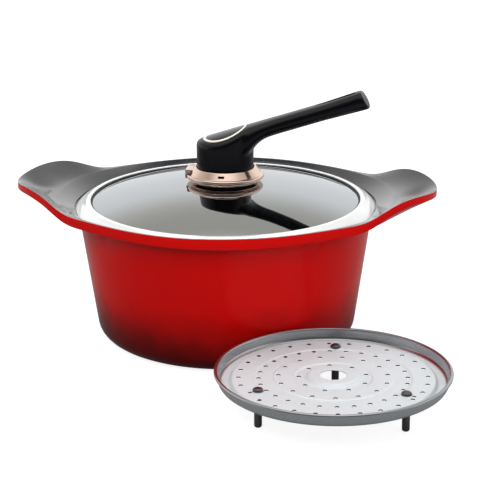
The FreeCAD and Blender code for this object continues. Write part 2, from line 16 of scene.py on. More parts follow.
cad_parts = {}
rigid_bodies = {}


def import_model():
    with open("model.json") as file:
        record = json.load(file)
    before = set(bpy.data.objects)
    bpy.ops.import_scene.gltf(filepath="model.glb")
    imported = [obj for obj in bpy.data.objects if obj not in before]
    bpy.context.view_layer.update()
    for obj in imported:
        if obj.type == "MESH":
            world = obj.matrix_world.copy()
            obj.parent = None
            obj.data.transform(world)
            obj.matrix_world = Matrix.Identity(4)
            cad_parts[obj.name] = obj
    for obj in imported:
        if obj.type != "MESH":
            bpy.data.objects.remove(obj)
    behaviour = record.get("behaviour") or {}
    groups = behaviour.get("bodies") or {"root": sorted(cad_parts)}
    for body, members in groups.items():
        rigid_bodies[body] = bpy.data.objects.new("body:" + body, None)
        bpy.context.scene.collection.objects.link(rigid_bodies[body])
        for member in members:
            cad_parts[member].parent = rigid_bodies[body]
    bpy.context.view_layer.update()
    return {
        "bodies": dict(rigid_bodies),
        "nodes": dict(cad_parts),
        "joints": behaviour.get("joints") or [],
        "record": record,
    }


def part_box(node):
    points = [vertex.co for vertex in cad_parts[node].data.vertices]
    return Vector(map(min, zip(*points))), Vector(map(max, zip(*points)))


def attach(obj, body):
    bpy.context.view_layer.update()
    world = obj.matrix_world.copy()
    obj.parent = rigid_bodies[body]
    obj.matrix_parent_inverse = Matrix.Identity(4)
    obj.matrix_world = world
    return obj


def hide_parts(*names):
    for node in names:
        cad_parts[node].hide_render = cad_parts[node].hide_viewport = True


log = logging.getLogger("stock_pot")

Colour = tuple[float, float, float]
Number = Union[int, float]
CREASE = 40.0    # degrees past which an edge is drawn sharp
WELD = 1e-7      # vertices this close are one
ROW_STEP = 100   # a vertex's tag is its place in the outline times this, plus its row


# ---------------------------------------------------------------- shader maths


class Val:
    """A value socket that takes part in Python arithmetic by adding Math nodes."""

    def __init__(self, tree: "NodeTree", socket: bpy.types.NodeSocket) -> None:
        """Wrap one output socket of a tree."""
        self.tree = tree
        self.socket = socket

    def _math(self, operation: str, first: object, second: object) -> "Val":
        """Add one Math node.

        Args:
            operation: Blender's name of the operation.
            first: left operand, a Val or a number.
            second: right operand, a Val or a number.

        Returns:
            The node's result.
        """
        return self.tree.add("ShaderNodeMath", {"operation": operation}, {0: first, 1: second})

    def __add__(self, other: object) -> "Val":
        """Return self + other."""
        return self._math("ADD", self, other)

    def __sub__(self, other: object) -> "Val":
        """Return self - other."""
        return self._math("SUBTRACT", self, other)

    def __rsub__(self, other: object) -> "Val":
        """Return other - self."""
        return self._math("SUBTRACT", other, self)

    def __mul__(self, other: object) -> "Val":
        """Return self * other."""
        return self._math("MULTIPLY", self, other)

    def __pow__(self, other: object) -> "Val":
        """Return self ** other."""
        return self._math("POWER", self, other)

    def ramp(self, low: float, high: float) -> "Val":
        """Return a smooth 0 to 1 step as the value goes from low to high."""
        settings = {"interpolation_type": "SMOOTHSTEP"}
        inputs = {"Value": self, "From Min": low, "From Max": high}
        return self.tree.add("ShaderNodeMapRange", settings, inputs)


class NodeTree:
    """A shader tree and the ways of adding to it."""

    def __init__(self, owner: Union[bpy.types.Material, bpy.types.World]) -> None:
        """Turn on the nodes of a material or a world."""
        owner.use_nodes = True
        self.nodes = owner.node_tree.nodes
        self.links = owner.node_tree.links

    def add(self, kind: str, settings: dict, inputs: dict, output: Union[int, str] = 0) -> Val:
        """Add a node, set its options first and then its sockets.

        Args:
            kind: the node's type name.
            settings: its options by name.
            inputs: numbers, tuples or Vals by socket name or place.
            output: the output socket that is wanted.

        Returns:
            That output.
        """
        node = self.nodes.new(kind)
        for key, value in settings.items():
            setattr(node, key, value)
        for key, value in inputs.items():
            self.feed(node.inputs[key], value)
        return Val(self, node.outputs[output])

    def feed(self, socket: bpy.types.NodeSocket, value: object) -> None:
        """Link a Val to a socket, or set the socket's own value."""
        if isinstance(value, Val):
            self.links.new(value.socket, socket)
        elif isinstance(value, tuple) and len(value) == 3 and len(socket.default_value) == 4:
            socket.default_value = (*value, 1.0)
        else:
            socket.default_value = value

    def place(self, scale: tuple[Number, Number, Number] = (1, 1, 1)) -> Val:
        """Return object coordinates, stretched by a factor along each axis."""
        coords = self.add("ShaderNodeTexCoord", {}, {}, "Object")
        return self.add("ShaderNodeMapping", {}, {"Vector": coords, "Scale": scale})

    def noise(self, place: Val, scale: float, detail: float = 3.0, output: str = "Fac") -> Val:
        """Return a noise pattern, scale in features per metre."""
        inputs = {"Vector": place, "Scale": scale, "Detail": detail}
        return self.add("ShaderNodeTexNoise", {}, inputs, output)

    def grey(self, low: float, high: float, factor: Val) -> Val:
        """Return a value that runs from low to high as the factor goes from 0 to 1."""
        return factor * (high - low) + low

    def mix(self, factor: Val, first: object, second: object) -> Val:
        """Return a colour between two colours."""
        settings = {"data_type": "RGBA"}
        return self.add("ShaderNodeMix", settings, {0: factor, 6: first, 7: second}, 2)

    def parts(self, coords: Val) -> tuple[Val, Val, Val]:
        """Return the X, Y and Z of a vector."""
        node = self.nodes.new("ShaderNodeSeparateXYZ")
        self.links.new(coords.socket, node.inputs[0])
        return Val(self, node.outputs[0]), Val(self, node.outputs[1]), Val(self, node.outputs[2])


class MaterialTree(NodeTree):
    """The nodes of one material, with a Principled shader as its surface."""

    def __init__(self, name: str) -> None:
        """Start a material with a Principled shader.

        Args:
            name: the material's name.
        """
        self.material = bpy.data.materials.new(name)
        super().__init__(self.material)
        self.shader = self.nodes["Principled BSDF"]
        self.output = self.nodes["Material Output"]

    def surface(self, **values: object) -> None:
        """Set or link sockets of the Principled shader; underscores stand for spaces."""
        for key, value in values.items():
            self.feed(self.shader.inputs[key.replace("_", " ")], value)

    def bump(self, height: Val, distance: float, strength: float = 1.0) -> None:
        """Give the surface a relief of this depth in metres."""
        inputs = {"Height": height, "Distance": distance, "Strength": strength}
        self.surface(Normal=self.add("ShaderNodeBump", {}, inputs))


# ---------------------------------------------------------------- finishes


@dataclass(frozen=True)
class Enamel:
    """Glossy baked enamel that runs from bright red to maroon towards the base."""

    bright: Colour = (0.57, 0.002, 0.0015)
    deep: Colour = (0.09, 0.002, 0.0015)
    fade_low: float = 0.008
    fade_high: float = 0.060
    roughness: float = 0.20

    def make(self) -> bpy.types.Material:
        """Return the material."""
        tree = MaterialTree("red_enamel")
        place = tree.place()
        height = tree.parts(place)[2]
        wander = tree.noise(place, 28.0, 2.0)
        level = (height + (wander - 0.5) * 0.03).ramp(self.fade_low, self.fade_high)
        tree.surface(Base_Color=tree.mix(level, self.deep, self.bright))
        smudge = tree.noise(place, 14.0, 4.0)
        tree.surface(Roughness=tree.grey(self.roughness - 0.04, self.roughness + 0.05, smudge))
        tree.surface(Specular_IOR_Level=0.10)
        tree.bump(tree.noise(place, 260.0, 2.0), 0.00004)
        return tree.material


@dataclass(frozen=True)
class StoneLining:
    """Satin dark grey non-stick lining with fine pale and dark specks."""

    base: Colour = (0.013, 0.015, 0.020)
    pale: Colour = (0.24, 0.24, 0.25)
    roughness: float = 0.30

    def make(self) -> bpy.types.Material:
        """Return the material."""
        tree = MaterialTree("stone_lining")
        place = tree.place()
        cloud = tree.noise(place, 45.0, 4.0)
        speck = tree.noise(place, 1900.0, 2.0).ramp(0.60, 0.72)
        body = tree.mix(cloud, self.base, tuple(1.35 * c for c in self.base))
        tree.surface(Base_Color=tree.mix(speck * 0.45, body, self.pale))
        tree.surface(Roughness=tree.grey(self.roughness - 0.05, self.roughness + 0.07, cloud))
        tree.surface(Specular_IOR_Level=0.7, Coat_Weight=1.0, Coat_Roughness=0.10)
        tree.bump(tree.noise(place, 1400.0, 2.0), 0.00003)
        return tree.material


@dataclass(frozen=True)
class Metal:
    """A metal with turned lines about a centre. If satin_r is set, it's glossier beyond it, and its colour
    is darkened there as painted shade.
    """

    name: str
    colour: Colour
    roughness: float
    line_depth: float
    line_scale: float = 1400.0
    centre: tuple[float, float] = (0.0, 0.0)
    grime: float = 0.10
    metallic: float = 1.0
    satin_r: float = 0.0
    satin_metallic: float = 0.30
    satin_blend: float = 0.002
    rim_gloss: float = 0.6
    # share of the colour kept beyond satin_r: painted shade
    rim_painted_shade: float = 0.82

    def make(self) -> bpy.types.Material:
        """Return the material."""
        tree = MaterialTree(self.name)
        coords = tree.add("ShaderNodeTexCoord", {}, {}, "Object")
        middle = (-self.centre[0], -self.centre[1], 0.0)
        place = tree.add("ShaderNodeMapping", {}, {"Vector": coords, "Location": middle})
        x, y, z = tree.parts(place)
        radius = (x * x + y * y) ** 0.5
        ring = tree.add("ShaderNodeCombineXYZ", {}, {0: radius, 1: z, 2: 0.0})
        lines = tree.noise(ring, self.line_scale, 2.0)
        cloud = tree.noise(place, 60.0, 4.0)
        shade = tuple(c * (1.0 - self.grime) for c in self.colour)
        body = tree.mix(cloud, self.colour, shade)
        tree.surface(Metallic=self.metallic)
        matt = tree.grey(self.roughness * 0.75, self.roughness * 1.3, lines)
        if self.satin_r:
            rim = radius.ramp(self.satin_r - self.satin_blend, self.satin_r)
            tree.surface(Metallic=tree.grey(self.satin_metallic, self.metallic, rim))
            matt = matt * tree.grey(1.0, self.rim_gloss, rim)
            # painted shade: the colour beyond satin_r is darkened
            body = tree.mix(rim, body, tuple(c * self.rim_painted_shade for c in self.colour))
        tree.surface(Base_Color=body, Roughness=matt)
        tree.bump(lines, self.line_depth)
        return tree.material


@dataclass(frozen=True)
class Moulded:
    """Moulded plastic or rubber with a fine grain."""

    name: str
    colour: Colour
    roughness: float
    coat: float = 0.0
    grain: float = 0.00002
    gloss: float = 0.5

    def make(self) -> bpy.types.Material:
        """Return the material."""
        tree = MaterialTree(self.name)
        place = tree.place()
        cloud = tree.noise(place, 90.0, 3.0)
        light = tuple(c * 1.25 for c in self.colour)
        tree.surface(Base_Color=tree.mix(cloud, self.colour, light))
        tree.surface(Roughness=tree.grey(self.roughness * 0.9, self.roughness * 1.15, cloud))
        tree.surface(Specular_IOR_Level=self.gloss, Coat_Weight=self.coat, Coat_Roughness=0.08)
        tree.bump(tree.noise(place, 1500.0, 2.0), self.grain)
        return tree.material


@dataclass(frozen=True)
class LidGlass:
    """Tempered glass with a strong mirror coat over what lies behind it."""

    mirror: Colour = (0.78, 0.84, 0.88)
    tint: Colour = (0.80, 0.84, 0.84)
    roughness: float = 0.015
    strength: float = 2.2
    least: float = 0.45

    def make(self) -> bpy.types.Material:
        """Return the material."""
        tree = MaterialTree("lid_glass")
        place = tree.place()
        film = tree.noise(place, 9.0, 3.0)
        tree.surface(Base_Color=tree.mix(film, self.tint, tuple(0.94 * c for c in self.tint)))
        tree.surface(Roughness=tree.grey(0.0, self.roughness, film), Transmission_Weight=1.0, IOR=1.5)
        gloss = tree.nodes.new("ShaderNodeBsdfGlossy")
        tree.feed(gloss.inputs["Color"], self.mirror)
        gloss.inputs["Roughness"].default_value = self.roughness
        fresnel = tree.add("ShaderNodeFresnel", {}, {"IOR": self.strength})
        mixer = tree.nodes.new("ShaderNodeMixShader")
        tree.feed(mixer.inputs[0], fresnel * (1.0 - self.least) + self.least)
        tree.links.new(tree.shader.outputs[0], mixer.inputs[1])
        tree.links.new(gloss.outputs[0], mixer.inputs[2])
        tree.links.new(mixer.outputs[0], tree.output.inputs[0])
        return tree.material


# ---------------------------------------------------------------- mesh helpers


@dataclass(frozen=True)
class Corner:
    """A corner of a turned outline: radius, height, reach of its rounding and a row number."""

    r: float
    z: float
    rounding: float = 0.0
    row: int = 0


class Lathe:
    """Turns outlines about the Z axis."""

    def __init__(self, steps: int = 160, segments: int = 5) -> None:
        """Set how finely a turn and a rounded corner are divided.

        Args:
            steps: divisions of a full turn.
            segments: divisions of a rounded corner.
        """
        self.steps = steps
        self.segments = segments

    def turn(self, corners: Iterable[Corner], closed: bool = False) -> bmesh.types.BMesh:
        """Spin an outline into a closed body.

        Args:
            corners: the outline, from the axis to the axis, or all round a ring.
            closed: True for a ring's outline, which ends where it starts.

        Returns:
            A bmesh whose vertices keep their corner's row in the layer "row".
        """
        mesh = bmesh.new()
        row = mesh.verts.layers.int.new("row")
        corners = list(corners)
        verts = [mesh.verts.new((c.r, 0.0, c.z)) for c in corners]
        for vert, corner in zip(verts, corners):
            vert[row] = corner.row
        for first, second in zip(verts, verts[1:]):
            mesh.edges.new((first, second))
        if closed:
            mesh.edges.new((verts[-1], verts[0]))
        for vert, corner in zip(verts, corners):
            if corner.rounding:
                bmesh.ops.bevel(mesh, geom=[vert], offset=corner.rounding, offset_type="OFFSET",
                                segments=self.segments, profile=0.5, affect="VERTICES", material=-1)
        bmesh.ops.spin(mesh, geom=mesh.verts[:] + mesh.edges[:], cent=(0, 0, 0), axis=(0, 0, 1),
                       angle=math.tau, steps=self.steps, use_merge=True)
        bmesh.ops.remove_doubles(mesh, verts=mesh.verts[:], dist=WELD)
        bmesh.ops.recalc_face_normals(mesh, faces=mesh.faces[:])
        return mesh


class Workshop:
    """Turns meshes into pieces, dresses them and puts them on their bodies."""

    def finish(self, name: str, mesh: bmesh.types.BMesh, materials: list[bpy.types.Material], body: str,
               slot: str, nodes: Iterable[str], crease: float = CREASE) -> bpy.types.Object:
        """Make a piece of a mesh.

        Args:
            name: the piece's name.
            mesh: its shape, in its place.
            materials: its materials, in the order of its faces' numbers.
            body: the body that it moves with.
            slot: the record's material slot; not used.
            nodes: the CAD nodes that it stands for.
            crease: angle in degrees past which an edge is drawn sharp.

        Returns:
            The piece.
        """
        mark_creases(mesh, crease)
        data = bpy.data.meshes.new(name)
        mesh.to_mesh(data)
        mesh.free()
        for material in materials:
            data.materials.append(material)
        piece = bpy.data.objects.new(name, data)
        bpy.context.scene.collection.objects.link(piece)
        self.place(piece, body, slot, nodes)
        return piece

    def place(self, piece: bpy.types.Object, body: str, slot: str, nodes: Iterable[str]) -> None:
        """Put a piece on its body and hide the CAD nodes that it stands for."""
        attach(piece, body)
        nodes = list(nodes)
        if nodes:
            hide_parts(*nodes)
        log.info("%s: %d faces on %s", piece.name, len(piece.data.polygons), body)

    @staticmethod
    def dress(frame: dict, node: str, material: bpy.types.Material) -> None:
        """Give a CAD node that stays a better material."""
        piece = frame["nodes"][node]
        for slot in piece.material_slots:
            slot.material = material
        if not piece.material_slots:
            piece.data.materials.append(material)
        log.info("%s keeps its CAD shape", node)


class Join(Enum):
    """What is done with the volumes of a second mesh."""

    CUT = "DIFFERENCE"
    ADD = "UNION"


def combine(piece: bpy.types.Object, join: Join, cutter: bmesh.types.BMesh,
            material: Union[bpy.types.Material, None] = None) -> None:
    """Cut the volumes of a mesh out of a piece or add them to it, and free that mesh.

    Args:
        piece: the piece that is changed.
        join: whether it is cut or added to.
        cutter: closed volumes.
        material: the finish of the new faces, if it isn't the piece's own.
    """
    for face in cutter.faces:
        face.smooth = True
    data = bpy.data.meshes.new("cutter")
    cutter.to_mesh(data)
    cutter.free()
    data.materials.append(material or piece.data.materials[0])
    if material:
        piece.data.materials.append(material)
    tool = bpy.data.objects.new("cutter", data)
    bpy.context.scene.collection.objects.link(tool)
    modifier = piece.modifiers.new("combine", "BOOLEAN")
    modifier.operation = join.value
    modifier.solver = "EXACT"
    modifier.material_mode = "TRANSFER"
    modifier.object = tool
    apply_modifiers(piece)
    bpy.data.objects.remove(tool)
    bpy.data.meshes.remove(data)
    even_shading(piece)


def mark_creases(mesh: bmesh.types.BMesh, crease: float) -> None:
    """Make faces smooth and draw edges past an angle in degrees sharp."""
    for face in mesh.faces:
        face.smooth = True
    for edge in mesh.edges:
        edge.smooth = edge.calc_face_angle(0.0) < math.radians(crease)


def even_shading(piece: bpy.types.Object) -> None:
    """Let the large faces around a cut decide its shading, so that none of it is streaked."""
    mesh = bmesh.new()
    mesh.from_mesh(piece.data)
    mark_creases(mesh, CREASE)
    mesh.to_mesh(piece.data)
    mesh.free()
    modifier = piece.modifiers.new("even_shading", "WEIGHTED_NORMAL")
    modifier.keep_sharp = True
    apply_modifiers(piece)


def apply_modifiers(piece: bpy.types.Object) -> None:
    """Replace a piece's mesh by the result of its modifiers."""
    graph = bpy.context.evaluated_depsgraph_get()
    result = bpy.data.meshes.new_from_object(piece.evaluated_get(graph))
    old = piece.data
    piece.modifiers.clear()
    piece.data = result
    bpy.data.meshes.remove(old)


def fade(distance: float, spread: float, power: float) -> float:
    """Return 1 at no distance, falling smoothly to 0 beyond the spread."""
    return math.exp(-((abs(distance) / spread) ** power))


# ---------------------------------------------------------------- pot


class Row(IntEnum):
    """Rows of the pot's outline that the ears move or that are rounded."""

    PLAIN = 0
    ROOT = 1
    UNDER = 2
    LIP_LOW = 3
    LIP_TOP = 4
    TOP = 5
    CREST = 6
    FLARE = 7
    LEDGE = 8
    MOUTH = 9
    INSIDE = 10


@dataclass
class PotCasting:
    """The cast pot: floor, wall, ledge for the lid, rim and the two ears along X."""

    mouth_r: float = 0.120
    ledge_z: float = 0.110
    wall: float = 0.0038
    taper: float = 0.1447
    floor: float = 0.005
    base_corner: float = 0.013
    recess_gap: float = 0.007
    recess_depth: float = 0.0024
    rim_rise: float = 0.0092
    rim_out: float = 0.0091
    rim_flat: float = 0.0016
    rim_edge: float = 0.0086
    ear_reach: float = 0.0477
    ear_spread: float = 29.2
    ear_power: float = 1.93
    ear_lift: float = 0.0148
    lift_spread: float = 27.2
    lift_power: float = 5.6
    ear_dip: float = 0.0043
    dip_spread: float = 11.7
    ear_edge: float = 0.0056
    flare: float = 0.0134
    flare_spread: float = 44.0
    flare_power: float = 3.2
    top_curve: float = 1.25
    under_curve: float = 2.5
    root_drop: float = 0.0015
    ear_root: float = 0.003
    thumb_hollow: float = 0.0026
    thumb_reach: float = 0.62
    thumb_r: float = 0.013
    top_rows: int = 14
    under_rows: int = 10
    steps: int = 288

    @property
    def rim_r(self) -> float:
        """Outer radius of the rim, clear of the ears."""
        return self.mouth_r + self.rim_out

    @property
    def rim_z(self) -> float:
        """Height of the rim's crest."""
        return self.ledge_z + self.rim_rise

    def wall_r(self, z: float) -> float:
        """Return the wall's outer radius at a height."""
        return self.mouth_r + self.wall - self.taper * (self.ledge_z - z)

    def crest_r(self, angle: float) -> float:
        """Return the crest's radius at an angle from the ear's axis."""
        return self.rim_r - self.rim_flat + self.flare * fade(angle, self.flare_spread, self.flare_power)

    def edge(self, angle: float) -> tuple[float, float]:
        """Return the radius and height of the outer edge's top at an angle."""
        r = self.rim_r + self.ear_reach * fade(angle, self.ear_spread, self.ear_power)
        lift = self.ear_lift * fade(angle, self.lift_spread, self.lift_power)
        return r, self.rim_z + lift - self.ear_dip * fade(angle, self.dip_spread, 2)

    def top(self, angle: float, share: float) -> tuple[float, float]:
        """Return the top's radius and height between the crest (share 0) and the outer edge (share 1)."""
        inner = self.crest_r(angle)
        outer, edge_z = self.edge(angle)
        r = inner + (outer - inner) * share
        middle = self.crest_r(0) + self.thumb_reach * (self.edge(0)[0] - self.crest_r(0))
        turn = math.radians(angle)
        away = math.hypot(r * math.cos(turn) - middle, r * math.sin(turn))
        hollow = self.thumb_hollow * fade(away, self.thumb_r, 2) * (1 - share**4) * min(1, 4 * share)
        return r, self.rim_z + (edge_z - self.rim_z) * share**self.top_curve - hollow

    def under(self, angle: float, share: float) -> tuple[float, float]:
        """Return the underside's radius and height from the wall (share 0) to the outer edge (share 1)."""
        outer, edge_z = self.edge(angle)
        ear = fade(angle, self.ear_spread, self.ear_power)
        thick = self.rim_edge + (self.ear_edge - self.rim_edge) * ear
        root_z = self.ledge_z - self.root_drop - self.ear_root * ear
        root_r = self.wall_r(root_z)
        r = root_r + (outer - root_r) * share
        over = max(0.0, (r - self.crest_r(angle)) / (outer - self.crest_r(angle)))
        sunk = self.rim_z + (edge_z - self.rim_z) * over**self.top_curve - thick
        return r, root_z + (sunk - root_z) * (1 - (1 - share) ** self.under_curve)

    def outline(self) -> list[tuple[Corner, float]]:
        """Return the outline's corners with their shares, from the base's centre round to the floor's."""
        recess_r = self.mouth_r + self.recess_gap
        inner_floor = self.mouth_r - self.taper * (self.ledge_z - self.floor)
        rows = [(Corner(0, 0), 0.0), (Corner(self.wall_r(0), 0, self.base_corner), 0.0)]
        for level in (0.03, 0.06, 0.09):
            rows.append((Corner(self.wall_r(level), level), 0.0))
        for i in range(self.under_rows + 1):
            share = i / self.under_rows
            row = Row.ROOT if i == 0 else Row.LIP_LOW if i == self.under_rows else Row.UNDER
            rows.append((Corner(*self.under(90, share), row=row), share))
        for i in range(self.top_rows + 1):
            share = 1 - i / self.top_rows
            row = Row.LIP_TOP if i == 0 else Row.CREST if i == self.top_rows else Row.TOP
            rows.append((Corner(*self.top(90, share), row=row), share))
        rows.append((Corner(recess_r, self.ledge_z + self.recess_depth, row=Row.FLARE), 0.0))
        rows.append((Corner(recess_r, self.ledge_z, row=Row.LEDGE), 0.0))
        rows.append((Corner(self.mouth_r, self.ledge_z, row=Row.MOUTH), 0.0))
        for level in (0.08, 0.05):
            inner = self.mouth_r - self.taper * (self.ledge_z - level)
            rows.append((Corner(inner, level, row=Row.INSIDE), 0.0))
        rows.append((Corner(inner_floor, self.floor, self.base_corner, Row.INSIDE), 0.0))
        rows.append((Corner(0, self.floor, row=Row.INSIDE), 0.0))
        return rows

    def shape_ears(self, mesh: bmesh.types.BMesh, shares: dict[int, float]) -> None:
        """Move the turned rim's vertices to where the ears need them."""
        row = mesh.verts.layers.int["row"]
        for vert in mesh.verts:
            kind = vert[row] % ROW_STEP
            share = shares.get(vert[row])
            if kind not in (Row.ROOT, Row.UNDER, Row.LIP_LOW, Row.LIP_TOP, Row.TOP, Row.CREST):
                continue
            turn = math.atan2(vert.co.y, vert.co.x)
            angle = abs(math.degrees(turn))
            angle = min(angle, 180 - angle)
            below = kind in (Row.ROOT, Row.UNDER, Row.LIP_LOW)
            r, z = self.under(angle, share) if below else self.top(angle, share)
            vert.co = Vector((r * math.cos(turn), r * math.sin(turn), z))

    def build(self) -> bmesh.types.BMesh:
        """Return the casting's mesh: faces 0 are enamel, faces 1 are lining."""
        rows = self.outline()
        corners, shares = [], {}
        for number, (corner, share) in enumerate(rows):
            tag = number * ROW_STEP + corner.row
            shares[tag] = share
            corners.append(Corner(corner.r, corner.z, corner.rounding, tag))
        mesh = Lathe(self.steps, 8).turn(corners)
        self.shape_ears(mesh, shares)
        row = mesh.verts.layers.int["row"]
        for face in mesh.faces:
            kinds = [v[row] % ROW_STEP for v in face.verts]
            face.material_index = 1 if min(kinds) >= Row.LIP_TOP else 0
        rounded = ((Row.LIP_LOW, 0.0012, 3), (Row.LIP_TOP, 0.0006, 3), (Row.CREST, 0.0005, 2),
                   (Row.FLARE, 0.0005, 2), (Row.MOUTH, 0.0006, 3))
        for kind, reach, segments in rounded:
            edges = [e for e in mesh.edges if all(v[row] % ROW_STEP == kind for v in e.verts)]
            bmesh.ops.bevel(mesh, geom=edges, offset=reach, offset_type="OFFSET", segments=segments,
                            profile=0.5, affect="EDGES", clamp_overlap=True, material=-1)
        bmesh.ops.recalc_face_normals(mesh, faces=mesh.faces[:])
        return mesh


# ---------------------------------------------------------------- lid


@dataclass
class Lid:
    """The glass, its seal and its polished band."""

    glass_r: float
    glass_top: float
    dome_rise: float = 0.0176
    glass_t: float = 0.004
    hole_r: float = 0.0046
    band_r: float = 0.126
    band_z: float = 0.1103
    bead_inset: float = 0.0092
    band_rise: float = 0.005
    band_edge: float = 0.0008
    skirt_r: float = 0.1188
    skirt_t: float = 0.0008
    skirt_drop: float = 0.0055
    seal_t: float = 0.001
    seal_grip: float = 0.0024
    lip: float = 0.0020
    vent_r: float = 0.0025
    vent_circle: float = 0.017
    drill_depth: float = 0.03

    @property
    def dome_r(self) -> float:
        """Radius of the glass's outer sphere."""
        return (self.glass_r**2 + self.dome_rise**2) / (2 * self.dome_rise)

    def dome_z(self, r: float, drop: float = 0.0) -> float:
        """Return the glass's height at a radius, drop below its top."""
        return self.glass_top - self.dome_r + math.sqrt((self.dome_r - drop) ** 2 - r**2)

    def glass(self) -> bmesh.types.BMesh:
        """Return the domed glass with its rounded edge."""
        rings = [self.hole_r + (self.glass_r - self.hole_r) * i / 24 for i in range(25)]
        top = [Corner(r, self.dome_z(r)) for r in rings]
        low = [Corner(r, self.dome_z(r, self.glass_t)) for r in reversed(rings)]
        return Lathe(192).turn(top + low, closed=True)

    def seal(self) -> bmesh.types.BMesh:
        """Return the soft channel around the glass."""
        inner = self.glass_r - self.seal_grip
        outer = self.glass_r + self.seal_t
        low = self.dome_z(self.glass_r, self.glass_t) - self.seal_t
        high = self.dome_z(inner) + self.seal_t
        return Lathe(192).turn([Corner(inner, low, 0.0005), Corner(outer, low, 0.0005),
                                Corner(outer, high, 0.0005), Corner(inner, high, 0.0007),
                                Corner(inner, self.dome_z(inner) - 0.0002),
                                Corner(inner, self.dome_z(inner, self.glass_t) + 0.0002)], closed=True)

    def band(self) -> bmesh.types.BMesh:
        """Return the convex band, its bead and its skirt."""
        seal_r = self.glass_r + self.seal_t
        low = self.dome_z(self.glass_r, self.glass_t) - self.seal_t
        high = self.dome_z(self.glass_r - self.seal_grip) + self.seal_t
        lip = seal_r - self.lip
        bead_r = self.band_r - self.bead_inset
        top = self.band_z + self.band_edge
        bead_z = top + self.band_rise
        bulge = [Corner(bead_r + 0.001 + (self.band_r - bead_r - 0.001) * t,
                        top + (bead_z - top) * (1 - t**1.7)) for t in (0.15, 0.3, 0.45, 0.6, 0.75, 0.9)]
        return Lathe(224).turn([
            Corner(lip, high), Corner(lip, high + self.skirt_t, 0.0004),
            Corner(bead_r, high + 0.0008, 0.001),
            *bulge, Corner(self.band_r, top, 0.0003), Corner(self.band_r, self.band_z, 0.0002),
            Corner(self.skirt_r, self.band_z), Corner(self.skirt_r, self.band_z - self.skirt_drop, 0.0003),
            Corner(self.skirt_r - self.skirt_t, self.band_z - self.skirt_drop, 0.0003),
            Corner(self.skirt_r - self.skirt_t, low - self.skirt_t), Corner(lip, low - self.skirt_t),
            Corner(lip, low), Corner(seal_r, low), Corner(seal_r, high)], closed=True)

    def vents(self) -> bmesh.types.BMesh:
        """Return the two rods that cut the steam holes."""
        mesh = bmesh.new()
        for side in (1, -1):
            place = Matrix.Translation((0, side * self.vent_circle, self.glass_top))
            bmesh.ops.create_cone(mesh, cap_ends=True, segments=24, radius1=self.vent_r,
                                  radius2=self.vent_r, depth=self.drill_depth, matrix=place)
        return mesh


# ---------------------------------------------------------------- knob


